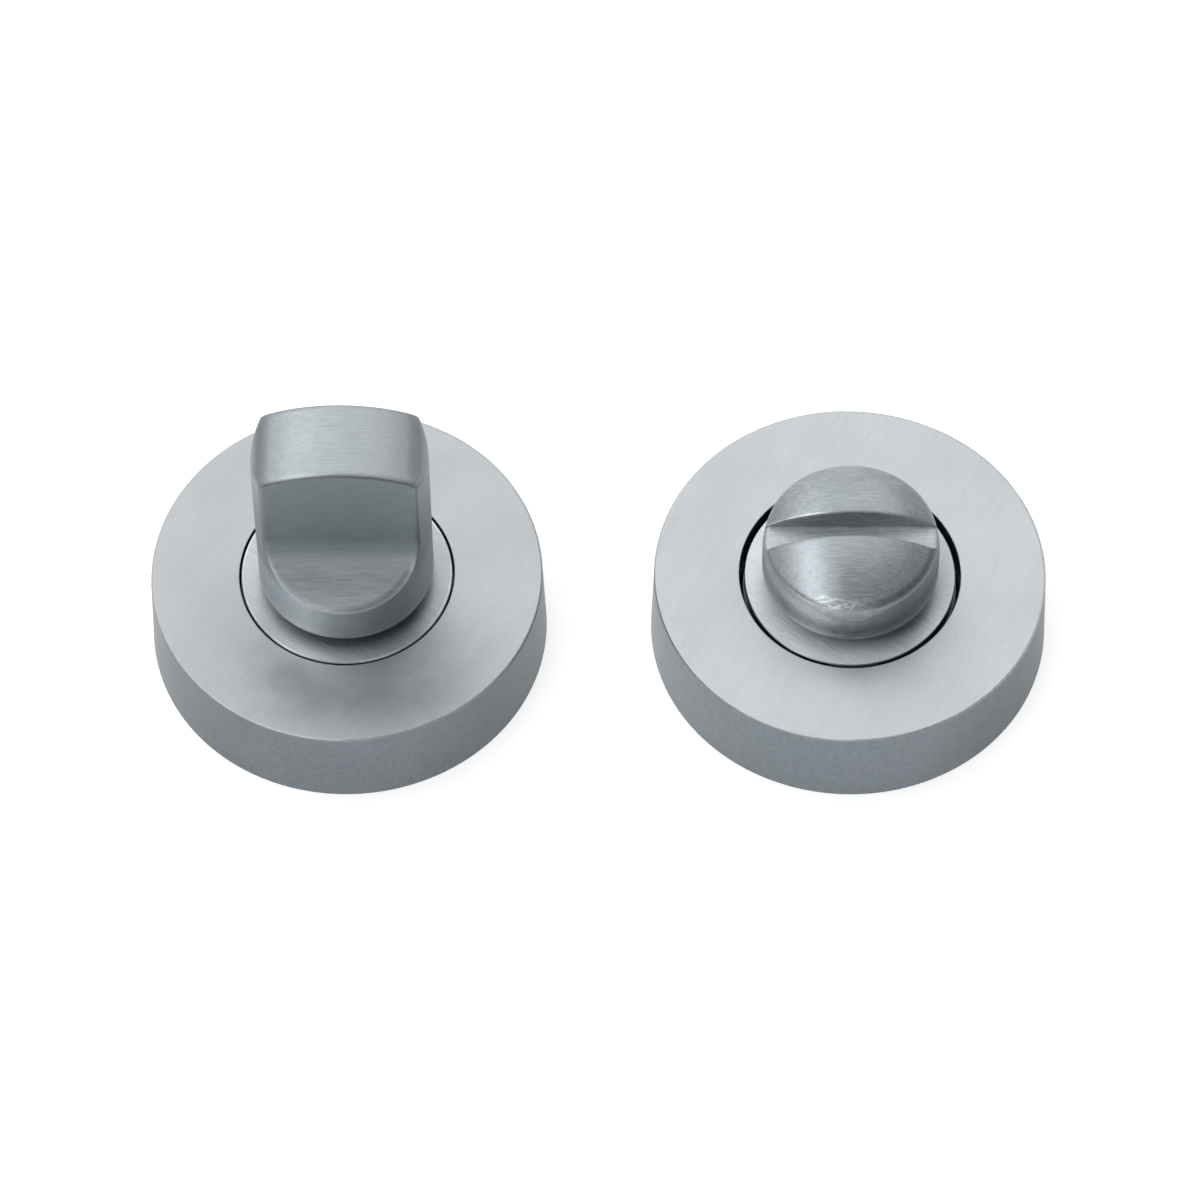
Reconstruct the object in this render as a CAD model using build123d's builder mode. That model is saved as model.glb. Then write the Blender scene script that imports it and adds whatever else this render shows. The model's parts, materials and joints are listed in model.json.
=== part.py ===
from build123d import *
import os
from math import asin, cos, degrees, radians, sin, sqrt, tan

# Bathroom thumb turn lock: a thumb turn and a coin release, each on its own round rose, laid side by side.
# Millimetres. Both roses stand on z = 0, where the door's face would be, and both turning axes are vertical.

# Layout
turn_x = -32.125
release_x = 32.125
running_clearance = 0.05
fit_clearance = 0.02
height_tolerance = 0.01

# Rose cover, with the two openings that its collars fill
rose_top_radius = 25.0
rose_base_radius = 25.4
rose_height = 12.5
rose_wall = 1.9
rose_face_thickness = 2.0
rose_edge_round = 0.3
rose_inner_round = 1.2
opening_edge_round = 0.1

# Base plate
plate_thickness = 4.0
plate_skin = 1.6
plate_rim_clearance = 0.27
plate_rim_width = 2.1
boss_height = 10.0
boss_top_radius = 13.6
boss_draft = 5.0
boss_foot_round = 0.8
pocket_inner_radius = 15.2
rib_count = 8
rib_thickness = 1.4
rib_turn = 22.5

# Fixing holes: one pair for bolts through the door, one pair for wood screws
fixing_edge_distance = 4.1
bolt_hole_radius = 2.15
screw_hole_radius = 1.75
fixing_boss_wall = 1.6

# Snap ring that holds the cover on the plate
ring_height = 2.0
ring_width = 1.2
ring_thickness = 1.1
ring_edge = 0.2
ring_groove_clearance = 0.1
ring_squeeze = 0.4
ring_gap_angle = 24.0

# Collar, the disc that fills the rose's opening, with a hub below it
collar_radius = 13.5
turn_opening_gap = 0.25
release_opening_gap = 0.65
turn_collar_top = 12.5
release_collar_top = 12.05
collar_edge = 0.12
hub_radius = 8.5
hub_bottom = 4.6

# Collar screws, driven from behind
collar_screw_radius = 1.25
collar_screw_head_radius = 2.1
collar_screw_head_height = 1.2
collar_screw_sink = 0.3
collar_screw_circle = 11.4
collar_screw_bite = 1.2
cross_recess_width = 0.6
cross_recess_length = 2.4
cross_recess_depth = 0.8

# Neck, its bush and the square socket for the spindle
neck_radius = 6.0
neck_end = 0.9
neck_end_chamfer = 0.3
bush_wall = 1.15
bush_flange_radius = 8.8
bush_flange_thickness = 0.6
socket_width = 6.1
socket_corner_round = 0.3
turn_socket_top = 19.0
release_socket_top = 15.0

# Washers and retaining ring behind the collar
washer_bore_clearance = 0.25
washer_radius = 8.2
thrust_washer_thickness = 0.6
spring_washer_thickness = 0.35
spring_washer_rise = 0.6
clip_thickness = 1.0
clip_groove_depth = 0.5
clip_radius = 7.4
clip_shift = 0.4
clip_gap_angle = 40.0
clip_ear_radius = 1.15
clip_ear_circle = 7.0
clip_ear_hole_radius = 0.5
clip_ear_angle = 32.0

# Knobs, common to both
knob_bottom = 14.4
knob_bottom_edge = 0.3
knob_foot_radius = 8.0

# Thumb turn
turn_radius = 11.15
turn_top = 43.45
turn_half_thickness = 5.4
turn_rim_height = 21.0
turn_sweep_radius = 8.0
turn_arch_radius = 21.3
turn_shoulder_round = 4.4
turn_overhang = 0.15
turn_edge_round = 0.45
stem_top = 21.5

# Grub screw in the side of the thumb turn
grub_height = 17.2
grub_radius = 1.5
grub_sink = 0.4
grub_point_gap = 0.2
grub_point_chamfer = 0.4
grub_hex_across_flats = 1.5
grub_hex_depth = 1.6

# Coin release
release_radius = 11.25
release_rim_height = 21.0
release_rim_inset = 0.35
release_dome_rise = 3.35
release_edge_round = 0.25
slot_width = 3.5
slot_below_rim = 0.3
slot_edge_round = 0.1

# Sizes that follow from those above
rose_lean = (rose_base_radius - rose_top_radius) / rose_height
turn_opening_radius = collar_radius + turn_opening_gap
release_opening_radius = collar_radius + release_opening_gap
plate_room = rose_base_radius - rose_wall - max(rose_lean, 0) * plate_thickness
plate_radius = plate_room - plate_rim_clearance
fixing_radius = plate_radius - fixing_edge_distance
ring_circle = plate_room - plate_rim_clearance / 2
bush_radius = neck_radius + running_clearance + bush_wall
thrust_washer_bottom = hub_bottom - thrust_washer_thickness
spring_washer_crown = thrust_washer_bottom - running_clearance
clip_top = spring_washer_crown - spring_washer_rise - spring_washer_thickness
clip_bottom = clip_top - clip_thickness
turn_foot_bottom = turn_collar_top + bush_flange_thickness + running_clearance
release_foot_bottom = release_collar_top + bush_flange_thickness + running_clearance
release_top = release_rim_height + release_dome_rise
slot_floor = release_rim_height - slot_below_rim


def upright_plane(x):
    """Plane through a half's axis: its own x runs along +X and its own y runs up."""
    return Plane(origin=(x, 0, 0), x_dir=(1, 0, 0), z_dir=(0, -1, 0))


def level_plane(x, z):
    """Level plane at height z, centred on a half's axis."""
    return Plane(origin=(x, 0, z))


def turning_axis(x):
    return Axis((x, 0, 0), (0, 0, 1))


def inside_of_cover(z):
    """Radius of the inside of the cover's wall, which leans in as much as its outside does."""
    return rose_base_radius - rose_lean * z - rose_wall


def circles_at(piece, z):
    """Round edges that lie level at height z."""
    circles = piece.edges().filter_by(GeomType.CIRCLE)
    return circles.filter_by_position(Axis.Z, z - height_tolerance, z + height_tolerance)


def rose_cover(x, opening_radius):
    """Turned cover: a level face with a round opening, and a wall with a groove for the snap ring."""
    ceiling = rose_height - rose_face_thickness
    groove_radius = ring_circle + ring_width / 2 + ring_groove_clearance
    groove_height = ring_thickness + 2 * ring_groove_clearance
    with BuildPart() as cover:
        with BuildSketch(upright_plane(x)):
            with BuildLine():
                Polyline(
                    (opening_radius, ceiling),
                    (inside_of_cover(ceiling), ceiling),
                    (inside_of_cover(0), 0),
                    (rose_base_radius, 0),
                    (rose_top_radius, rose_height),
                    (opening_radius, rose_height),
                    close=True,
                )
            make_face()
        revolve(axis=turning_axis(x))
        face_rims = circles_at(cover, rose_height).sort_by(SortBy.RADIUS)
        fillet(face_rims[-1], rose_edge_round)
        fillet(face_rims[0], opening_edge_round)
        fillet(circles_at(cover, ceiling).sort_by(SortBy.RADIUS)[-1], rose_inner_round)
        with BuildSketch(upright_plane(x)):
            with Locations((groove_radius, ring_height)):
                Rectangle(groove_radius - plate_radius, groove_height, align=(Align.MAX, Align.CENTER))
        revolve(axis=turning_axis(x), mode=Mode.SUBTRACT)
    return cover.part


def snap_ring(x):
    """Open ring of flat spring wire, half in the plate's groove and half in the cover's."""
    half_gap = radians(ring_gap_angle / 2)
    wire_end = Plane(
        origin=(x, 0, ring_height),
        x_dir=(cos(half_gap), sin(half_gap), 0),
        z_dir=(sin(half_gap), -cos(half_gap), 0),
    )
    with BuildPart() as ring:
        with BuildSketch(wire_end):
            with Locations((ring_circle, 0)):
                wire = Rectangle(ring_width, ring_thickness)
            chamfer(wire.vertices(), ring_edge)
        revolve(axis=turning_axis(x), revolution_arc=360 - ring_gap_angle)
    return ring.part


def base_plate(x):
    """Cast plate with a tall centre boss, a ribbed back, four fixing holes and a groove for the snap ring."""
    groove_radius = ring_circle - ring_width / 2 - ring_squeeze
    groove_height = ring_thickness + 2 * ring_groove_clearance
    boss_rise = boss_height - plate_thickness
    boss_bottom_radius = boss_top_radius + boss_rise * tan(radians(boss_draft))
    with BuildPart() as plate:
        with BuildSketch(upright_plane(x)):
            with BuildLine():
                Polyline(
                    (hub_radius + fit_clearance, 0),
                    (plate_radius, 0),
                    (plate_radius, plate_thickness),
                    (boss_bottom_radius, plate_thickness),
                    (boss_top_radius, boss_height),
                    (hub_radius + fit_clearance, boss_height),
                    close=True,
                )
            make_face()
        revolve(axis=turning_axis(x))
        fillet(circles_at(plate, plate_thickness).sort_by(SortBy.RADIUS)[0], boss_foot_round)

        # Pockets in the back, between the ribs and the bosses of the fixing holes
        with BuildSketch(level_plane(x, 0)):
            Circle(plate_radius - plate_rim_width)
            Circle(pocket_inner_radius, mode=Mode.SUBTRACT)
            with PolarLocations(0, rib_count, start_angle=rib_turn):
                Rectangle(plate_radius, rib_thickness, align=(Align.MIN, Align.CENTER), mode=Mode.SUBTRACT)
            with PolarLocations(fixing_radius, 2):
                Circle(bolt_hole_radius + fixing_boss_wall, mode=Mode.SUBTRACT)
            with PolarLocations(fixing_radius, 2, start_angle=90):
                Circle(screw_hole_radius + fixing_boss_wall, mode=Mode.SUBTRACT)
        extrude(amount=plate_thickness - plate_skin, mode=Mode.SUBTRACT)

        # Fixing holes: bolts on the line between the halves, wood screws across it
        with BuildSketch(level_plane(x, 0)):
            with PolarLocations(fixing_radius, 2):
                Circle(bolt_hole_radius)
            with PolarLocations(fixing_radius, 2, start_angle=90):
                Circle(screw_hole_radius)
        extrude(amount=plate_thickness, mode=Mode.SUBTRACT)

        # Counterbored holes for the collar's screws
        with BuildSketch(level_plane(x, 0)):
            with PolarLocations(collar_screw_circle, 2, start_angle=90):
                Circle(collar_screw_radius + fit_clearance)
        extrude(amount=boss_height, mode=Mode.SUBTRACT)
        with BuildSketch(level_plane(x, 0)):
            with PolarLocations(collar_screw_circle, 2, start_angle=90):
                Circle(collar_screw_head_radius + fit_clearance)
        extrude(amount=collar_screw_sink + collar_screw_head_height, mode=Mode.SUBTRACT)

        with BuildSketch(upright_plane(x)):
            with Locations((groove_radius, ring_height)):
                Rectangle(plate_radius, groove_height, align=(Align.MIN, Align.CENTER))
        revolve(axis=turning_axis(x), mode=Mode.SUBTRACT)
    return plate.part


def collar(x, top):
    """Disc that fills the rose's opening, with a hub below and blind holes for its screws."""
    with BuildPart() as disc:
        with BuildSketch(level_plane(x, boss_height)):
            Circle(collar_radius)
        extrude(amount=top - boss_height)
        chamfer(disc.edges().filter_by(GeomType.CIRCLE).sort_by(Axis.Z)[-1], collar_edge)
        with BuildSketch(level_plane(x, hub_bottom)):
            Circle(hub_radius)
        extrude(amount=boss_height - hub_bottom)
        with BuildSketch(level_plane(x, hub_bottom)):
            Circle(bush_radius + fit_clearance)
        extrude(amount=top - hub_bottom, mode=Mode.SUBTRACT)
        with BuildSketch(level_plane(x, boss_height)):
            with PolarLocations(collar_screw_circle, 2, start_angle=90):
                Circle(collar_screw_radius + fit_clearance)
        extrude(amount=collar_screw_bite + fit_clearance, mode=Mode.SUBTRACT)
    return disc.part


def collar_screws(x):
    """Two screws that hold the collar on the plate, with a cross recess in each head."""
    head_top = collar_screw_sink + collar_screw_head_height
    with BuildPart() as screws:
        with BuildSketch(level_plane(x, collar_screw_sink)):
            with PolarLocations(collar_screw_circle, 2, start_angle=90):
                Circle(collar_screw_head_radius)
        extrude(amount=collar_screw_head_height)
        with BuildSketch(level_plane(x, head_top)):
            with PolarLocations(collar_screw_circle, 2, start_angle=90):
                Circle(collar_screw_radius)
        extrude(amount=boss_height + collar_screw_bite - head_top)
        with BuildSketch(level_plane(x, collar_screw_sink)):
            with PolarLocations(collar_screw_circle, 2, start_angle=90):
                Rectangle(cross_recess_length, cross_recess_width)
                Rectangle(cross_recess_width, cross_recess_length)
        extrude(amount=cross_recess_depth, mode=Mode.SUBTRACT)
    return screws.part


def neck_bush(x, collar_top):
    """Flanged plastic sleeve in which the neck turns, its flange on the collar."""
    with BuildPart() as bush:
        with BuildSketch(level_plane(x, hub_bottom)):
            Circle(bush_radius)
        extrude(amount=collar_top - hub_bottom)
        with BuildSketch(level_plane(x, collar_top)):
            Circle(bush_flange_radius)
        extrude(amount=bush_flange_thickness)
        with BuildSketch(level_plane(x, hub_bottom)):
            Circle(neck_radius + running_clearance)
        extrude(amount=collar_top + bush_flange_thickness - hub_bottom, mode=Mode.SUBTRACT)
    return bush.part


def thrust_washer(x):
    """Flat washer against the underside of the collar's hub."""
    with BuildPart() as washer:
        with BuildSketch(level_plane(x, thrust_washer_bottom)):
            Circle(washer_radius)
            Circle(neck_radius + washer_bore_clearance, mode=Mode.SUBTRACT)
        extrude(amount=thrust_washer_thickness)
    return washer.part


def spring_washer(x):
    """Thin spring washer bent about one line: its crown bears up and its two sides bear down on the ring."""
    sides = spring_washer_crown - spring_washer_rise
    with BuildPart() as washer:
        with BuildSketch(upright_plane(x)):
            with BuildLine():
                upper = ThreePointArc((-washer_radius, sides), (0, spring_washer_crown), (washer_radius, sides))
                lower = ThreePointArc(
                    (washer_radius, sides - spring_washer_thickness),
                    (0, spring_washer_crown - spring_washer_thickness),
                    (-washer_radius, sides - spring_washer_thickness),
                )
                Line(upper @ 1, lower @ 0)
                Line(lower @ 1, upper @ 0)
            make_face()
        extrude(amount=washer_radius, both=True)
        with BuildSketch(level_plane(x, 0)):
            Circle(washer_radius)
            Circle(neck_radius + washer_bore_clearance, mode=Mode.SUBTRACT)
        extrude(amount=hub_bottom, mode=Mode.INTERSECT)
    return washer.part


def retaining_ring(x):
    """Open spring ring in the neck's groove: widest opposite its gap, with a drilled ear at each end."""
    with BuildPart() as ring:
        with BuildSketch(level_plane(x, clip_bottom)):
            with Locations((0, clip_shift)):
                Circle(clip_radius)
            with PolarLocations(clip_ear_circle, 2, -90 - clip_ear_angle, 2 * clip_ear_angle, endpoint=True):
                Circle(clip_ear_radius)
            Circle(neck_radius - clip_groove_depth + fit_clearance, mode=Mode.SUBTRACT)
            with BuildLine():
                reach = clip_ear_circle + clip_ear_radius + clip_radius
                half_width = reach * tan(radians(clip_gap_angle / 2))
                Polyline((0, 0), (half_width, -reach), (-half_width, -reach), close=True)
            make_face(mode=Mode.SUBTRACT)
            with PolarLocations(clip_ear_circle, 2, -90 - clip_ear_angle, 2 * clip_ear_angle, endpoint=True):
                Circle(clip_ear_hole_radius, mode=Mode.SUBTRACT)
        extrude(amount=clip_thickness)
    return ring.part


def thumb_turn_stem():
    """Round stem that turns in the bush: ring groove near its end, square socket from below, hole for the grub."""
    with BuildPart() as stem:
        with BuildSketch(level_plane(turn_x, neck_end)):
            Circle(neck_radius)
        extrude(amount=stem_top - neck_end)
        chamfer(stem.edges().filter_by(GeomType.CIRCLE), neck_end_chamfer)
        with BuildSketch(level_plane(turn_x, clip_bottom)):
            Circle(neck_radius)
            Circle(neck_radius - clip_groove_depth, mode=Mode.SUBTRACT)
        extrude(amount=clip_thickness, mode=Mode.SUBTRACT)
        with BuildSketch(level_plane(turn_x, neck_end)):
            RectangleRounded(socket_width, socket_width, socket_corner_round)
        extrude(amount=turn_socket_top - neck_end, mode=Mode.SUBTRACT)
        with BuildSketch(grub_plane(0)):
            Circle(grub_radius + fit_clearance)
        extrude(amount=neck_radius, mode=Mode.SUBTRACT)
    return stem.part


def thumb_turn():
    """Cast thumb turn: a round base whose front and back sweep up in a hollow curve into a flat blade."""
    sweep_centre = turn_half_thickness + turn_sweep_radius
    sweep_end = turn_rim_height + sqrt(turn_sweep_radius**2 - (sweep_centre - turn_radius) ** 2)
    reach = turn_radius + turn_overhang
    sweep_start = sweep_end - sqrt(turn_sweep_radius**2 - (sweep_centre - reach) ** 2)
    sweep_angle = degrees(asin((sweep_end - sweep_start) / turn_sweep_radius))
    arch_end = turn_top - turn_arch_radius + sqrt(turn_arch_radius**2 - reach**2)
    with BuildPart() as turn:
        # Section across the blade, the same from end to end
        with BuildSketch(Plane(origin=(turn_x, 0, 0), x_dir=(0, 1, 0), z_dir=(1, 0, 0))):
            with BuildLine():
                Polyline((turn_half_thickness, sweep_end), (turn_half_thickness, turn_top), (0, turn_top))
                Polyline((0, turn_top), (0, knob_bottom), (reach, knob_bottom), (reach, sweep_start))
                CenterArc((sweep_centre, sweep_end), turn_sweep_radius, 180, sweep_angle)
            make_face()
            mirror(about=Plane.YZ)
        extrude(amount=reach, both=True)

        # Outline seen from the front, with an arched top and round shoulders
        with BuildSketch(upright_plane(turn_x)) as front:
            with BuildLine():
                Polyline((-reach, arch_end), (-reach, knob_bottom), (reach, knob_bottom), (reach, arch_end))
                ThreePointArc((reach, arch_end), (0, turn_top), (-reach, arch_end))
            make_face()
            fillet(front.vertices().group_by(Axis.Y)[-1], turn_shoulder_round)
        extrude(amount=reach, both=True, mode=Mode.INTERSECT)

        # Outline seen from above, a little inside the reach of the other two
        with BuildSketch(level_plane(turn_x, knob_bottom)):
            Circle(turn_radius)
        extrude(amount=turn_top - knob_bottom, mode=Mode.INTERSECT)
        chamfer(turn.edges().sort_by(Axis.Z)[0], knob_bottom_edge)
        top_edges = turn.faces().filter_by(Axis.Y).edges().filter_by(GeomType.CIRCLE)
        rim_and_shoulder_edges = turn.edges().filter_by(GeomType.BSPLINE)
        fillet(top_edges + rim_and_shoulder_edges, turn_edge_round)

        # Foot that runs on the bush, bore for the stem and hole for the grub screw
        with BuildSketch(level_plane(turn_x, turn_foot_bottom)):
            Circle(knob_foot_radius)
        extrude(amount=knob_bottom - turn_foot_bottom)
        with BuildSketch(level_plane(turn_x, turn_foot_bottom)):
            Circle(neck_radius + fit_clearance)
        extrude(amount=stem_top + fit_clearance - turn_foot_bottom, mode=Mode.SUBTRACT)
        with BuildSketch(grub_plane(0)):
            Circle(grub_radius + fit_clearance)
        extrude(amount=turn_radius, mode=Mode.SUBTRACT)
    return turn.part


def grub_plane(out):
    """Plane facing +X at the grub screw's height, this far out from the turn's axis."""
    return Plane(origin=(turn_x + out, 0, grub_height), x_dir=(0, 1, 0), z_dir=(1, 0, 0))


def grub_screw():
    """Headless screw through the turn and the stem, its point by the square socket, a hexagon socket outside."""
    point = socket_width / 2 + grub_point_gap
    end = turn_radius - grub_sink
    with BuildPart() as screw:
        with BuildSketch(grub_plane(point)):
            Circle(grub_radius)
        extrude(amount=end - point)
        chamfer(screw.edges().filter_by(GeomType.CIRCLE).sort_by(Axis.X)[0], grub_point_chamfer)
        with BuildSketch(grub_plane(end)):
            RegularPolygon(grub_hex_across_flats / 2, 6, major_radius=False)
        extrude(amount=-grub_hex_depth, mode=Mode.SUBTRACT)
    return screw.part


def coin_release():
    """Turned release: neck and foot below, and a barrel with a domed top and a straight coin slot across it."""
    rim_radius = release_radius - release_rim_inset
    barrel_height = sqrt(release_radius**2 - rim_radius**2)
    barrel_angle = degrees(asin(barrel_height / release_radius))
    dome_radius = (rim_radius**2 + release_dome_rise**2) / (2 * release_dome_rise)
    dome_half_angle = degrees(asin(rim_radius / dome_radius))
    with BuildPart() as release:
        with BuildSketch(upright_plane(release_x)):
            with BuildLine():
                Polyline(
                    (0, release_top),
                    (0, neck_end),
                    (neck_radius, neck_end),
                    (neck_radius, release_foot_bottom),
                    (knob_foot_radius, release_foot_bottom),
                    (knob_foot_radius, knob_bottom),
                    (release_radius, knob_bottom),
                    (release_radius, release_rim_height - barrel_height),
                )
                CenterArc((0, release_rim_height - barrel_height), release_radius, 0, barrel_angle)
                CenterArc((0, release_top - dome_radius), dome_radius, 90 - dome_half_angle, dome_half_angle)
            make_face()
        revolve(axis=turning_axis(release_x))
        chamfer(circles_at(release, neck_end), neck_end_chamfer)
        fillet(circles_at(release, release_rim_height), release_edge_round)
        chamfer(circles_at(release, knob_bottom).sort_by(SortBy.RADIUS)[-1], knob_bottom_edge)

        # Coin slot from side to side
        with BuildSketch(level_plane(release_x, slot_floor)):
            Rectangle(2 * release_radius, slot_width)
        extrude(amount=release_top - slot_floor, mode=Mode.SUBTRACT)
        slot_mouth = release.faces().filter_by(Axis.Y).edges().filter_by(GeomType.CIRCLE)
        fillet(slot_mouth, slot_edge_round)

        with BuildSketch(level_plane(release_x, clip_bottom)):
            Circle(neck_radius)
            Circle(neck_radius - clip_groove_depth, mode=Mode.SUBTRACT)
        extrude(amount=clip_thickness, mode=Mode.SUBTRACT)
        with BuildSketch(level_plane(release_x, neck_end)):
            RectangleRounded(socket_width, socket_width, socket_corner_round)
        extrude(amount=release_socket_top - neck_end, mode=Mode.SUBTRACT)
    return release.part


def write(piece, name):
    piece.label = name
    export_step(piece, f"parts/{name}.step")


os.makedirs("parts", exist_ok=True)
for half, x, opening_radius, collar_top in (
    ("turn", turn_x, turn_opening_radius, turn_collar_top),
    ("release", release_x, release_opening_radius, release_collar_top),
):
    write(rose_cover(x, opening_radius), half + "_rose_cover")
    write(base_plate(x), half + "_base_plate")
    write(snap_ring(x), half + "_snap_ring")
    write(collar(x, collar_top), half + "_collar")
    write(collar_screws(x), half + "_collar_screws")
    write(neck_bush(x, collar_top), half + "_neck_bush")
    write(thrust_washer(x), half + "_thrust_washer")
    write(spring_washer(x), half + "_spring_washer")
    write(retaining_ring(x), half + "_retaining_ring")
write(thumb_turn(), "thumb_turn_knob")
write(thumb_turn_stem(), "thumb_turn_stem")
write(grub_screw(), "grub_screw")
write(coin_release(), "coin_release_knob")
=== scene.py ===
import json
import math

import bpy
from mathutils import Matrix, Vector


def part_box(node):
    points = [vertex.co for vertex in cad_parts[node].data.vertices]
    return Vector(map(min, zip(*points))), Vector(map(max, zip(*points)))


# Looks of the bathroom thumb turn lock: satin brushed metal on a white floor.
# The scene is in metres, and the finishes and their masks are given in millimetres.

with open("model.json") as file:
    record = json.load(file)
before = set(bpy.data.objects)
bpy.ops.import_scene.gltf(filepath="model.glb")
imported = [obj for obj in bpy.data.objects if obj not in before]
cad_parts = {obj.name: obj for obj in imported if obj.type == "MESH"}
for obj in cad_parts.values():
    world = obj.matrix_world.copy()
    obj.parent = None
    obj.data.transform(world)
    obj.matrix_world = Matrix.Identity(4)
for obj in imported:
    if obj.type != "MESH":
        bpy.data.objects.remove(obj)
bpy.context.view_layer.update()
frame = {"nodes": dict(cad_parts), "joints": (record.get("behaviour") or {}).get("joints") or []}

MM = 0.001
WHITE = (1.0, 1.0, 1.0, 1.0)

# The photograph's camera, fitted to the outlines of both roses
CAMERA_DISTANCE = 900 * MM
CAMERA_TARGET = Vector((0.135, 3.79, 0.0)) * MM
CAMERA_AZIMUTH = math.radians(0.67)
CAMERA_ELEVATION = math.radians(57.97)
CAMERA_ROLL = math.radians(-0.56)
CAMERA_SENSOR_MM = 36.0
CAMERA_LENS_MM = 208.4
CAMERA_CLIP = (0.01, 20.0)

# The floor, and a glow that makes it white where the camera or the metal sees it. The glow fades out between
# two distances from the middle.
FLOOR_SIZE = 6.0
FLOOR_GREY = (0.8, 0.8, 0.8, 1.0)
FLOOR_GLOW = 0.62
FLOOR_GLOW_FADE = (0.13, 0.32)

# The tent of light: an even fill, and soft round panels. A panel has the direction to it, the angles from
# that direction in degrees where it is full and where it ends, and its strength.
TENT_FILL = 0.28
TENT_PANELS = (
    ((-0.05, 0.6, 0.8), 28, 52, 0.9),
    ((-0.85, 0.5, 0.2), 8, 30, 0.3),
    ((0.85, 0.5, 0.2), 8, 30, 0.3),
    ((-0.8, 0.2, 0.6), 8, 30, 0.22),
    ((-0.43, -0.38, 0.81), 4, 19, 2.6),
    ((-0.05, -0.6, 0.8), 5, 30, 0.15),
)

# One soft lamp at the left, aimed at the middle of the object
LAMP_PLACE = Vector((-0.55, 0.0, 0.95))
LAMP_SIZE = (0.16, 0.36)
LAMP_POWER = 0.8

# What all brushed metal shares: the range of noise that counts, the broad streaks under the fine ones, the
# clouds, how far the fine streaks move the roughness, how deep they are, and the samples of its soft edges
NOISE_RANGE = (0.3, 0.7)
WIDE_NOISE_RANGE = (0.25, 0.75)
BROAD_WIDTH_MM = 0.8
BROAD_LENGTH_MM = 18
BROAD_CONTRAST = 0.014
CLOUDS_PER_METRE = 90
ROUGHNESS_SPREAD = 0.05
STREAK_NOISE_ROUGHNESS = 0.6
STREAK_BUMP = 0.5
STREAK_DEPTH = 0.004 * MM
EDGE_SAMPLES = 6

# Grain of the hidden pieces
METAL_GRAINS_PER_METRE = 1500
METAL_GRAIN_BUMP = 0.3
METAL_GRAIN_DARK = 0.85
METAL_ROUGHNESS_SPREAD = 0.06
PLASTIC_GRAINS_PER_METRE = 2500
PLASTIC_GRAIN_BUMP = 0.2
PLASTIC_GRAIN_DARK = 0.8
PLASTIC_ROUGHNESS = 0.55
GRAIN_DEPTH = 0.01 * MM

# Places of the solids that the masks go by, in millimetres. The rim is where a knob's upright wall ends.
axis_x = {joint["name"]: joint["pos_m"][0] / MM for joint in frame["joints"]}
TURN_X = axis_x["turn_spin"]
RELEASE_X = axis_x["release_spin"]
ROSE_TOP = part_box("turn_rose_cover")[1].z / MM
DISC_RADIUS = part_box("turn_collar")[1].x / MM - TURN_X
TURN_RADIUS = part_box("thumb_turn_knob")[1].x / MM - TURN_X
RIM = 21.0
SLOT_FLOOR = 20.7
SLOT_SIDE = 1.75

# How far a surface faces up where it stops being an upright wall
UPRIGHT_FADE = (0.15, 0.75)

# Heights over which the painted light and shade on both knobs' upright walls end
KNOB_WALL_END = (RIM, RIM + 2)

# The turn's blade and rounded edges, where shade is painted: heights, and distances to the right of the
# turn's axis and from it
BLADE_FACE_START = (RIM + 2.5, RIM + 6)
BLADE_SIDE_START = (RIM - 0.5, RIM + 3)
BLADE_CORNER_START = (RIM - 3, RIM + 1)
BLADE_CORNER_SIDE = (TURN_RADIUS - 2.25, TURN_RADIUS - 1.85)
FOOT_EDGE_HEIGHTS = (RIM - 0.8, RIM + 3)
FOOT_EDGE_SIDE = (-2, 3)
FOOT_EDGE_RADII = (TURN_RADIUS - 0.85, TURN_RADIUS - 0.55)

# Painted shade in soft patches on the front of the turn's rose, across and in depth from its axis
FRONT_SHADE_ACROSS = (-16, 17)
FRONT_SHADE_DEPTH = (-22, -9)

# Marks, painted highlights and painted shade on the coin release: across and in depth from its axis, and
# heights
LIP_HIGHLIGHT_ACROSS = (-11.2, -3.2)
NICKS_ACROSS = (-4.6, 1.6)
NICKS_DEPTH = (-8, -7)
NICKS_HEIGHTS = (RIM - 0.05, RIM + 0.7)
SHADED_RIM_ACROSS = (0.5, 4)
SHADED_RIM_DEPTH = (-1.5, 0.5)
SHADED_RIM_HEIGHTS = (RIM - 0.25, RIM + 0.5)
DOME_SHADE_ACROSS = (-4.5, 1)
DOME_SHADE_DEPTH = (-9.5, -3)
DOME_START = (RIM - 0.1, RIM + 0.3)


def scaled(colour, factor):
    """This colour times a factor."""
    return tuple(channel * factor for channel in colour)


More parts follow.
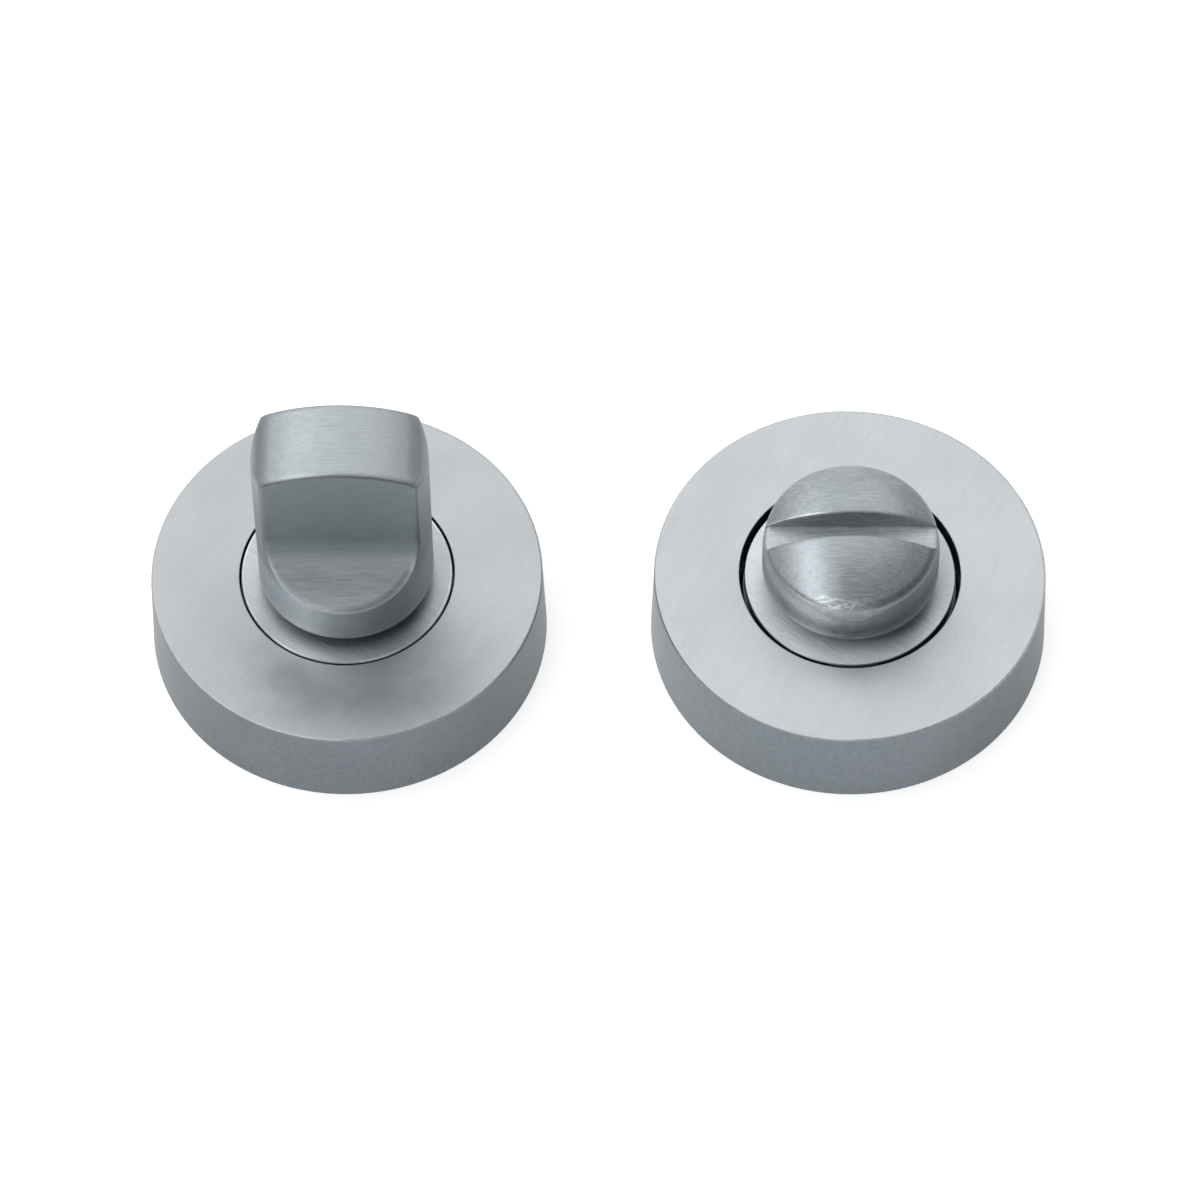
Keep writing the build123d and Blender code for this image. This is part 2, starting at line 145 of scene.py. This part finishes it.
class Shader:
    """The node tree of a material or of the world, with short calls to add and join its nodes."""

    def __init__(self, owner, output):
        owner.use_nodes = True
        self.owner = owner
        self.nodes = owner.node_tree.nodes
        self.links = owner.node_tree.links
        self.nodes.clear()
        self.output = self.nodes.new(output)

    def add(self, kind, settings=None, **inputs):
        """A new node. Each input is a value or another node's socket, and its name has _ for a space."""
        node = self.nodes.new(kind)
        for key, value in (settings or {}).items():
            setattr(node, key, value)
        for key, value in inputs.items():
            self.put(node.inputs[key.replace("_", " ")], value)
        return node

    def put(self, socket, value):
        """Join another node's socket to this one, or give this one a value."""
        if isinstance(value, bpy.types.NodeSocket):
            self.links.new(value, socket)
        else:
            socket.default_value = value

    def show(self, node):
        """Make this node's first output what is seen."""
        self.links.new(node.outputs[0], self.output.inputs["Surface"])

    def number(self, operation, first, second=0.0):
        """The result of maths on numbers."""
        node = self.add("ShaderNodeMath", {"operation": operation})
        self.put(node.inputs[0], first)
        self.put(node.inputs[1], second)
        return node.outputs[0]

    def vector(self, operation, first, second=(0.0, 0.0, 0.0), result="Vector"):
        """The result of maths on vectors. A length or a dot product is the result named Value."""
        node = self.add("ShaderNodeVectorMath", {"operation": operation})
        self.put(node.inputs[0], first)
        self.put(node.inputs[1], second)
        return node.outputs[result]

    def mix(self, factor, first, second):
        """The first colour where the factor is 0, and the second where it is 1."""
        node = self.add("ShaderNodeMix", {"data_type": "RGBA"})
        self.put(node.inputs["Factor"], factor)
        self.put(node.inputs["A"], first)
        self.put(node.inputs["B"], second)
        return node.outputs["Result"]

    def product(self, *masks):
        """1 where all the masks are 1."""
        result = masks[0]
        for mask in masks[1:]:
            result = self.number("MULTIPLY", result, mask)
        return result

    def ramp(self, value, low, high, at_low, at_high):
        """A smooth step from at_low to at_high, as the value goes from low to high."""
        node = self.add(
            "ShaderNodeMapRange",
            {"interpolation_type": "SMOOTHSTEP"},
            Value=value, From_Min=low, From_Max=high, To_Min=at_low, To_Max=at_high,
        )
        return node.outputs["Result"]

    def rise(self, value, low, high, least=0.0):
        """1 above high, and least below low."""
        return self.ramp(value, low, high, least, 1.0)

    def fall(self, value, low, high):
        """1 below low, and 0 above high."""
        return self.ramp(value, low, high, 1.0, 0.0)

    def between(self, value, low, high, soft):
        """1 between low and high, with edges this soft."""
        start = self.rise(value, low - soft, low + soft)
        end = self.fall(value, high - soft, high + soft)
        return self.number("MULTIPLY", start, end)

    def sway(self, noise, spread, noise_range=NOISE_RANGE):
        """Noise drawn out to go from -spread to spread."""
        return self.ramp(noise, *noise_range, -spread, spread)


class Material(Shader):
    """A material, with the shaded point's place in the piece's own space, in metres."""

    def __init__(self, name):
        super().__init__(bpy.data.materials.new(name), "ShaderNodeOutputMaterial")
        self.place = self.add("ShaderNodeTexCoord").outputs["Object"]

    def noise(self, per_metre, detail, roughness=0.5):
        """Noise with about this many spots in a metre."""
        node = self.add(
            "ShaderNodeTexNoise", Vector=self.place, Scale=per_metre, Detail=detail, Roughness=roughness,
        )
        return node.outputs[0]

    def streaks(self, width, length, detail, along=None):
        """Noise in strokes this wide and this long in millimetres, along +X or the first axis of along."""
        if along is None:
            along = self.place
        stretched = self.add("ShaderNodeMapping", {"vector_type": "POINT"}, Vector=along)
        stretched.inputs["Scale"].default_value = (1 / (length * MM), 1 / (width * MM), 1 / (width * MM))
        node = self.add(
            "ShaderNodeTexNoise",
            Vector=stretched.outputs[0], Scale=1.0, Detail=detail, Roughness=STREAK_NOISE_ROUGHNESS,
        )
        return node.outputs[0]


class MaskedMaterial(Material):
    """A material that also has what the masks go by, in the piece's own space.

    x, y and z are the shaded point's place in millimetres, and facing holds the three parts of the direction
    that the surface faces there.
    """

    def __init__(self, name):
        super().__init__(name)
        place_mm = self.vector("MULTIPLY", self.place, (1 / MM, 1 / MM, 1 / MM))
        parts = self.add("ShaderNodeSeparateXYZ", Vector=place_mm).outputs
        self.x, self.y, self.z = parts["X"], parts["Y"], parts["Z"]
        self.normal = self.add("ShaderNodeNewGeometry").outputs["Normal"]
        own_normal = self.add(
            "ShaderNodeVectorTransform",
            {"vector_type": "NORMAL", "convert_from": "WORLD", "convert_to": "OBJECT"},
            Vector=self.normal,
        )
        self.facing = self.add("ShaderNodeSeparateXYZ", Vector=own_normal.outputs[0]).outputs

    def right_of(self, centre_x):
        """How far the point is to the right of this x."""
        return self.number("SUBTRACT", self.x, centre_x)

    def from_axis(self, centre_x):
        """How far the point is from the upright axis at this x."""
        x = self.right_of(centre_x)
        squares = self.number("ADD", self.number("MULTIPLY", x, x), self.number("MULTIPLY", self.y, self.y))
        return self.number("SQRT", squares)


# Masks for the upright walls of roses and knobs, most of them for painted shade and painted light

def upright_wall(finish):
    """1 on upright walls, 0 on level faces."""
    return finish.fall(finish.facing["Z"], *UPRIGHT_FADE)


def shaded_left_wall(finish):
    """1 on the part of an upright wall that faces -X, where shade is painted."""
    return finish.product(upright_wall(finish), finish.fall(finish.facing["X"], -0.9, -0.3))


def shaded_right_wall(finish):
    """1 on the part of an upright wall that faces +X, where shade is painted."""
    return finish.product(upright_wall(finish), finish.rise(finish.facing["X"], 0.25, 0.95))


def wall_grain(finish):
    """1 in fine dark specks over upright walls."""
    specks = finish.noise(per_metre=1500, detail=4, roughness=0.7)
    return finish.product(upright_wall(finish), finish.rise(specks, 0.42, 0.66))


# Painted light: a pale patch painted on the left front of a knob's wall
def painted_light_knob_wall(finish):
    """1 on the left front of a knob's upright wall, which is paler in the photograph."""
    return finish.product(
        upright_wall(finish),
        finish.between(finish.facing["X"], -0.62, -0.22, soft=0.2),
        finish.fall(finish.facing["Y"], -0.5, 0.0),
        finish.fall(finish.z, *KNOB_WALL_END),
    )


# Painted shade: the right of a knob's wall painted darker
def painted_shade_knob_wall(finish):
    """1 on the right of a knob's upright wall, which is darker in the photograph."""
    return finish.product(
        upright_wall(finish),
        finish.rise(finish.facing["X"], 0.05, 0.6),
        finish.fall(finish.z, *KNOB_WALL_END),
    )


# Masks for painted shade and painted highlights on the level faces of roses and discs

def front_shade_patches(finish):
    """1 in soft patches of painted shade over the front of the turn's rose, in front of the turn."""
    patches = finish.noise(per_metre=115, detail=3, roughness=0.6)
    return finish.product(
        finish.between(finish.y, *FRONT_SHADE_DEPTH, soft=4),
        finish.between(finish.right_of(TURN_X), *FRONT_SHADE_ACROSS, soft=8),
        finish.rise(patches, 0.35, 0.65, least=0.2),
    )


def disc_edge_highlight(centre_x):
    """A mask that is 1 on the edge of the disc with its axis at this x, where a broken thin highlight is
    painted.
    """

    def mask(finish):
        patches = finish.noise(per_metre=160, detail=3)
        return finish.product(
            finish.rise(finish.from_axis(centre_x), DISC_RADIUS - 0.35, DISC_RADIUS - 0.15),
            finish.rise(finish.z, ROSE_TOP - 0.7, ROSE_TOP - 0.2),
            finish.rise(patches, 0.42, 0.6, least=0.25),
        )

    return mask


# Masks for painted shade on the thumb turn

def blade_face_shade(finish):
    """1 on the front and back of the blade, where shade is painted, fading out down the hollow sweep."""
    return finish.product(
        finish.rise(finish.z, *BLADE_FACE_START),
        finish.rise(finish.number("ABSOLUTE", finish.facing["Y"]), 0.38, 0.74),
    )


def blade_side_shade(finish):
    """1 on the blade's round sides above the rim, where shade is painted."""
    return finish.product(
        finish.rise(finish.z, *BLADE_SIDE_START),
        finish.rise(finish.number("ABSOLUTE", finish.facing["X"]), 0.5, 0.85),
    )


def right_edge_shade(finish):
    """1 on the rounded edges of the blade and its foot to the right of the turn's axis, where shade is
    painted.
    """
    x = finish.right_of(TURN_X)
    corner = finish.product(
        finish.rise(x, *BLADE_CORNER_SIDE),
        finish.between(finish.facing["X"], 0.12, 0.78, soft=0.1),
        finish.fall(finish.facing["Y"], -0.6, -0.3),
        finish.rise(finish.z, *BLADE_CORNER_START),
    )
    foot = finish.product(
        finish.rise(x, *FOOT_EDGE_SIDE),
        finish.between(finish.facing["Z"], 0.22, 0.93, soft=0.1),
        finish.between(finish.z, *FOOT_EDGE_HEIGHTS, soft=0.4),
        finish.rise(finish.from_axis(TURN_X), *FOOT_EDGE_RADII),
    )
    return finish.number("MAXIMUM", corner, foot)


# Masks for the coin release: marks, painted light and painted shade

def lit_slot_floor(finish):
    """1 on the slot's machined floor, most at its two ends where light is painted on, broken up by tool
    marks.
    """
    reach = finish.number("ABSOLUTE", finish.right_of(RELEASE_X))
    tool_marks = finish.noise(per_metre=1900, detail=4, roughness=0.7)
    return finish.product(
        finish.between(finish.z, SLOT_FLOOR - 0.2, SLOT_FLOOR + 0.1, soft=0.04),
        finish.between(finish.y, -SLOT_SIDE - 0.05, SLOT_SIDE + 0.05, soft=0.05),
        finish.rise(reach, 2, 9, least=0.3),
        finish.rise(tool_marks, 0.36, 0.58, least=0.5),
    )


def slot_wall(finish):
    """1 in patches on the slot's far wall."""
    patches = finish.streaks(width=0.3, length=1.2, detail=4)
    return finish.product(
        finish.between(finish.y, SLOT_SIDE - 0.05, SLOT_SIDE + 0.05, soft=0.03),
        finish.rise(patches, 0.44, 0.6),
    )


def slot_lip_highlight(finish):
    """1 along the left part of the slot's far lip, where a broken highlight is painted on the edge."""
    highlight_breaks = finish.noise(per_metre=1400, detail=3)
    return finish.product(
        finish.between(finish.y, SLOT_SIDE + 0.01, SLOT_SIDE + 0.23, soft=0.03),
        finish.between(finish.right_of(RELEASE_X), *LIP_HIGHLIGHT_ACROSS, soft=0.8),
        finish.rise(finish.facing["Z"], 0.2, 0.5),
        finish.rise(highlight_breaks, 0.35, 0.5, least=0.4),
    )


def rim_nick_glints(finish):
    """1 in small knocks along the front of the dome's edge, painted bright as glints."""
    knocks = finish.streaks(width=0.45, length=0.9, detail=4)
    return finish.product(
        finish.between(finish.z, *NICKS_HEIGHTS, soft=0.15),
        finish.between(finish.right_of(RELEASE_X), *NICKS_ACROSS, soft=1.6),
        finish.fall(finish.y, *NICKS_DEPTH),
        finish.rise(knocks, 0.44, 0.6),
    )


# Painted shade: the right front of the dome's edge painted darker over its highlight
def shaded_right_rim(finish):
    """1 along the right front of the dome's edge, which is darker in the photograph."""
    return finish.product(
        finish.between(finish.z, *SHADED_RIM_HEIGHTS, soft=0.2),
        finish.rise(finish.right_of(RELEASE_X), *SHADED_RIM_ACROSS),
        finish.fall(finish.y, *SHADED_RIM_DEPTH),
    )


def dome_shade_strokes(finish):
    """1 in strokes along X towards the front right of the dome, where shade is painted."""
    strokes = finish.streaks(width=0.3, length=2.2, detail=4)
    return finish.product(
        finish.rise(finish.z, *DOME_START),
        finish.fall(finish.y, *DOME_SHADE_DEPTH),
        finish.rise(finish.right_of(RELEASE_X), *DOME_SHADE_ACROSS),
        finish.rise(strokes, 0.35, 0.62, least=0.45),
    )


def dark_pits(finish):
    """1 in a few small pits and short strokes."""
    pits = finish.noise(per_metre=650, detail=3, roughness=0.7)
    strokes = finish.streaks(width=0.12, length=0.9, detail=3)
    return finish.product(finish.rise(pits, 0.5, 0.68), finish.rise(strokes, 0.48, 0.62))


def tangent_across(finish, angle, hoop_walls):
    """The direction across the brushing. With hoop_walls, it runs level along the wall on upright walls."""
    across = finish.add(
        "ShaderNodeVectorTransform",
        {"vector_type": "VECTOR", "convert_from": "OBJECT", "convert_to": "WORLD"},
        Vector=(-math.sin(angle), math.cos(angle), 0.0),
    ).outputs[0]
    if not hoop_walls:
        return across
    hoop = finish.vector("CROSS_PRODUCT", finish.normal, (0.0, 0.0, 1.0))
    return finish.mix(upright_wall(finish), across, hoop)


def brushed_metal(name, colour, angle, width, length, contrast, shades, roughness=0.42, anisotropy=0.6,
                  clouds=0.03, worn_edge=0.0, hoop_walls=False):
    """Satin metal, brushed straight at this angle from +X, in degrees.

    The fine streaks are this wide and this long in millimetres. They move the colour up and down by the
    contrast, and soft clouds move it by the clouds. Each of the shades is a mask and the factor that the
    colour takes where the mask is 1; most of them are painted light and painted shade, and some are marks.
    The worn edge is the radius in millimetres over which edges are softened, and hoop_walls is for a piece
    with a round wall that is brushed round.
    """
    finish = MaskedMaterial(name)
    angle = math.radians(angle)
    turned = finish.add("ShaderNodeMapping", {"vector_type": "POINT"}, Vector=finish.place)
    turned.inputs["Rotation"].default_value = (0.0, 0.0, -angle)
    fine = finish.streaks(width, length, detail=3, along=turned.outputs[0])
    broad = finish.streaks(BROAD_WIDTH_MM, BROAD_LENGTH_MM, detail=2, along=turned.outputs[0])
    cloud = finish.noise(CLOUDS_PER_METRE, detail=3, roughness=0.55)
    tone = finish.number("ADD", finish.sway(fine, contrast), 1.0)
    tone = finish.number("ADD", tone, finish.sway(cloud, clouds))
    tone = finish.number("ADD", tone, finish.sway(broad, BROAD_CONTRAST))
    tint = finish.vector("MULTIPLY", colour, tone)
    for mask, factor in shades:
        tint = finish.vector("MULTIPLY", tint, finish.mix(mask(finish), WHITE, (*factor, 1.0)))
    rough = finish.number("ADD", finish.sway(fine, ROUGHNESS_SPREAD, WIDE_NOISE_RANGE), roughness)
    bump = finish.add("ShaderNodeBump", Strength=STREAK_BUMP, Distance=STREAK_DEPTH, Height=fine)
    if worn_edge:
        soft = finish.add("ShaderNodeBevel", {"samples": EDGE_SAMPLES}, Radius=worn_edge * MM)
        finish.put(bump.inputs["Normal"], soft.outputs[0])
    finish.show(finish.add(
        "ShaderNodeBsdfPrincipled",
        Base_Color=tint, Metallic=1.0, Roughness=rough, Normal=bump.outputs[0],
        Anisotropic=anisotropy, Tangent=tangent_across(finish, angle, hoop_walls),
    ))
    return finish.owner


def grained(finish, colour, grain, dark):
    """The colour, darker where the grain is low."""
    return finish.mix(grain, (*scaled(colour, dark), 1.0), (*colour, 1.0))


def plain_metal(name, colour, roughness):
    """Cast, turned or plated metal with a fine even grain."""
    finish = Material(name)
    grain = finish.noise(METAL_GRAINS_PER_METRE, detail=3)
    bump = finish.add("ShaderNodeBump", Strength=METAL_GRAIN_BUMP, Distance=GRAIN_DEPTH, Height=grain)
    finish.show(finish.add(
        "ShaderNodeBsdfPrincipled",
        Base_Color=grained(finish, colour, grain, METAL_GRAIN_DARK), Metallic=1.0,
        Roughness=finish.number("ADD", finish.sway(grain, METAL_ROUGHNESS_SPREAD), roughness),
        Normal=bump.outputs[0],
    ))
    return finish.owner


def moulded_plastic(name, colour):
    """Matt plastic with a fine even grain."""
    finish = Material(name)
    grain = finish.noise(PLASTIC_GRAINS_PER_METRE, detail=2)
    bump = finish.add("ShaderNodeBump", Strength=PLASTIC_GRAIN_BUMP, Distance=GRAIN_DEPTH, Height=grain)
    finish.show(finish.add(
        "ShaderNodeBsdfPrincipled",
        Base_Color=grained(finish, colour, grain, PLASTIC_GRAIN_DARK), Roughness=PLASTIC_ROUGHNESS,
        Normal=bump.outputs[0],
    ))
    return finish.owner


# Colours of the satin metal. The turn's rose and disc are a little darker than the release's: the turn's
# disc as painted shade from the taller turn, and the release's disc paler than its rose as painted light.
SATIN = (0.585, 0.612, 0.632)
TURN_ROSE_SATIN = scaled(SATIN, 0.93)
TURN_DISC_SHADED_SATIN = scaled(SATIN, 0.89)
RELEASE_DISC_LIT_SATIN = scaled(SATIN, 1.14)
KNOB_SATIN = (0.462, 0.503, 0.531)
# Painted shade: the roses' upright walls darker and bluer than their tops
ROSE_WALL_SHADE = (0.345, 0.375, 0.395)

# Painted shade: walls darker than the tops, darker still on the right and left, and soft patches on the
# front; the grain is the metal's own
TURN_ROSE_SHADES = (
    (upright_wall, ROSE_WALL_SHADE),
    (shaded_right_wall, (0.71, 0.73, 0.74)),
    (shaded_left_wall, (0.86, 0.87, 0.88)),
    (wall_grain, (0.86, 0.86, 0.87)),
    (front_shade_patches, (0.80, 0.81, 0.82)),
)
# Painted shade: walls darker than the tops, and darker still on the right; the grain is the metal's own
RELEASE_ROSE_SHADES = (
    (upright_wall, ROSE_WALL_SHADE),
    (shaded_right_wall, (0.54, 0.57, 0.58)),
    (wall_grain, (0.86, 0.86, 0.87)),
)
# Painted highlights along the discs' edges
TURN_DISC_SHADES = (
    (disc_edge_highlight(TURN_X), (1.7, 1.66, 1.62)),
)
RELEASE_DISC_SHADES = (
    (disc_edge_highlight(RELEASE_X), (1.15, 1.14, 1.13)),
)
# Painted shade on the blade's faces, sides and right edges, and painted light and shade on the foot's wall
TURN_SHADES = (
    (blade_face_shade, (0.48, 0.50, 0.51)),
    (blade_side_shade, (0.57, 0.59, 0.60)),
    (right_edge_shade, (0.74, 0.75, 0.76)),
    (painted_light_knob_wall, (1.4, 1.36, 1.32)),
    (painted_shade_knob_wall, (0.8, 0.81, 0.82)),
)
# Painted light on the slot floor's ends, the lip, the nicks and the wall's left front, and painted shade on
# the right of the wall, the rim and the dome; the slot wall's patches and the pits are marks
RELEASE_SHADES = (
    (lit_slot_floor, (1.38, 1.35, 1.33)),
    (slot_wall, (0.80, 0.81, 0.82)),
    (slot_lip_highlight, (1.9, 1.85, 1.8)),
    (rim_nick_glints, (1.7, 1.66, 1.62)),
    (shaded_right_rim, (0.55, 0.56, 0.57)),
    (painted_light_knob_wall, (1.75, 1.68, 1.62)),
    (painted_shade_knob_wall, (0.84, 0.85, 0.86)),
    (dark_pits, (0.72, 0.73, 0.74)),
    (dome_shade_strokes, (0.72, 0.73, 0.75)),
)


def paint(node, material):
    """Give a CAD node this material all over."""
    slots = frame["nodes"][node].data.materials
    for index in range(len(slots)):
        slots[index] = material


def paint_roses_and_discs():
    paint("turn_rose_cover", brushed_metal(
        "satin_turn_rose", TURN_ROSE_SATIN, angle=50, width=0.10, length=2.0, contrast=0.07,
        shades=TURN_ROSE_SHADES, hoop_walls=True,
    ))
    paint("release_rose_cover", brushed_metal(
        "satin_release_rose", SATIN, angle=63, width=0.10, length=2.6, contrast=0.065,
        shades=RELEASE_ROSE_SHADES, hoop_walls=True,
    ))
    paint("turn_collar", brushed_metal(
        "satin_turn_collar", TURN_DISC_SHADED_SATIN, angle=-35, width=0.16, length=4.0, contrast=0.12,
        shades=TURN_DISC_SHADES, roughness=0.4, anisotropy=0.5,
    ))
    paint("release_collar", brushed_metal(
        "satin_release_collar", RELEASE_DISC_LIT_SATIN, angle=-35, width=0.18, length=4.0, contrast=0.12,
        shades=RELEASE_DISC_SHADES, roughness=0.5, anisotropy=0.8,
    ))


def paint_knobs():
    paint("thumb_turn_knob", brushed_metal(
        "satin_turn", KNOB_SATIN, angle=0, width=0.2, length=3.5, contrast=0.12,
        shades=TURN_SHADES, anisotropy=0.7, worn_edge=1.0,
    ))
    paint("coin_release_knob", brushed_metal(
        "satin_release", KNOB_SATIN, angle=0, width=0.22, length=2.6, contrast=0.16,
        shades=RELEASE_SHADES, anisotropy=0.85, clouds=0.07, worn_edge=0.9,
    ))


def paint_hidden_pieces():
    plate = plain_metal("cast_plate", (0.40, 0.41, 0.42), roughness=0.5)
    spring = plain_metal("spring_steel", (0.20, 0.20, 0.21), roughness=0.35)
    screw = plain_metal("screw_steel", (0.32, 0.33, 0.34), roughness=0.35)
    stem = plain_metal("stem_steel", (0.42, 0.43, 0.44), roughness=0.3)
    nylon = moulded_plastic("black_nylon", (0.012, 0.012, 0.013))
    for half in ("turn", "release"):
        paint(half + "_base_plate", plate)
        for piece in ("_snap_ring", "_spring_washer", "_retaining_ring"):
            paint(half + piece, spring)
        for piece in ("_neck_bush", "_thrust_washer"):
            paint(half + piece, nylon)
        paint(half + "_collar_screws", screw)
    paint("thumb_turn_stem", stem)
    paint("grub_screw", screw)


def add_camera():
    """The photograph's camera: round the target by azimuth and elevation, then rolled."""
    azimuth, elevation = CAMERA_AZIMUTH, CAMERA_ELEVATION
    back = Vector((
        math.sin(azimuth) * math.cos(elevation),
        -math.cos(azimuth) * math.cos(elevation),
        math.sin(elevation),
    ))
    level_right = Vector((math.cos(azimuth), math.sin(azimuth), 0.0))
    level_up = back.cross(level_right)
    right = level_right * math.cos(CAMERA_ROLL) + level_up * math.sin(CAMERA_ROLL)
    up = back.cross(right)
    data = bpy.data.cameras.new("camera")
    data.sensor_width = CAMERA_SENSOR_MM
    data.lens = CAMERA_LENS_MM
    data.clip_start, data.clip_end = CAMERA_CLIP
    camera = bpy.data.objects.new("camera", data)
    place = Matrix((right, up, back)).transposed().to_4x4()
    place.translation = CAMERA_TARGET + back * CAMERA_DISTANCE
    camera.matrix_world = place
    bpy.context.scene.collection.objects.link(camera)
    bpy.context.scene.camera = camera


def add_floor():
    """A pale floor that keeps the object's shadow and is white where it is seen beside the object."""
    bpy.ops.mesh.primitive_plane_add(size=FLOOR_SIZE, location=(0.0, 0.0, 0.0))
    floor = bpy.context.object
    floor.name = "floor"
    finish = Material("floor")
    path = finish.add("ShaderNodeLightPath").outputs
    seen = finish.number("MAXIMUM", path["Is Camera Ray"], path["Is Glossy Ray"])
    seen = finish.number("MAXIMUM", seen, path["Is Transmission Ray"])
    distance = finish.vector("LENGTH", finish.place, result="Value")
    near = finish.ramp(distance, *FLOOR_GLOW_FADE, FLOOR_GLOW, 0.0)
    diffuse = finish.add("ShaderNodeBsdfDiffuse", Color=FLOOR_GREY)
    glow = finish.add("ShaderNodeEmission", Color=WHITE, Strength=finish.number("MULTIPLY", seen, near))
    both = finish.add("ShaderNodeAddShader")
    finish.put(both.inputs[0], diffuse.outputs[0])
    finish.put(both.inputs[1], glow.outputs[0])
    finish.show(both)
    floor.data.materials.append(finish.owner)


def add_tent():
    """A soft tent of light: bright behind and to the left, darker in front and to the right."""
    world = bpy.data.worlds.new("studio")
    bpy.context.scene.world = world
    tent = Shader(world, "ShaderNodeOutputWorld")
    direction = tent.add("ShaderNodeTexCoord").outputs["Generated"]
    level = TENT_FILL
    for toward, full_angle, end_angle, strength in TENT_PANELS:
        nearness = tent.vector("DOT_PRODUCT", direction, Vector(toward).normalized(), result="Value")
        end, full = math.cos(math.radians(end_angle)), math.cos(math.radians(full_angle))
        level = tent.number("ADD", level, tent.ramp(nearness, end, full, 0.0, strength))
    tent.show(tent.add("ShaderNodeBackground", Color=WHITE, Strength=level))


def add_lamp():
    """One soft lamp at the left."""
    data = bpy.data.lights.new("left_lamp", "AREA")
    data.shape = "RECTANGLE"
    data.size, data.size_y = LAMP_SIZE
    data.energy = LAMP_POWER
    lamp = bpy.data.objects.new("left_lamp", data)
    lamp.location = LAMP_PLACE
    lamp.rotation_mode = "QUATERNION"
    lamp.rotation_quaternion = (-LAMP_PLACE).to_track_quat("-Z", "Y")
    bpy.context.scene.collection.objects.link(lamp)


paint_roses_and_discs()
paint_knobs()
paint_hidden_pieces()
add_camera()
add_floor()
add_tent()
add_lamp()

bpy.context.scene.view_settings.view_transform = "Standard"
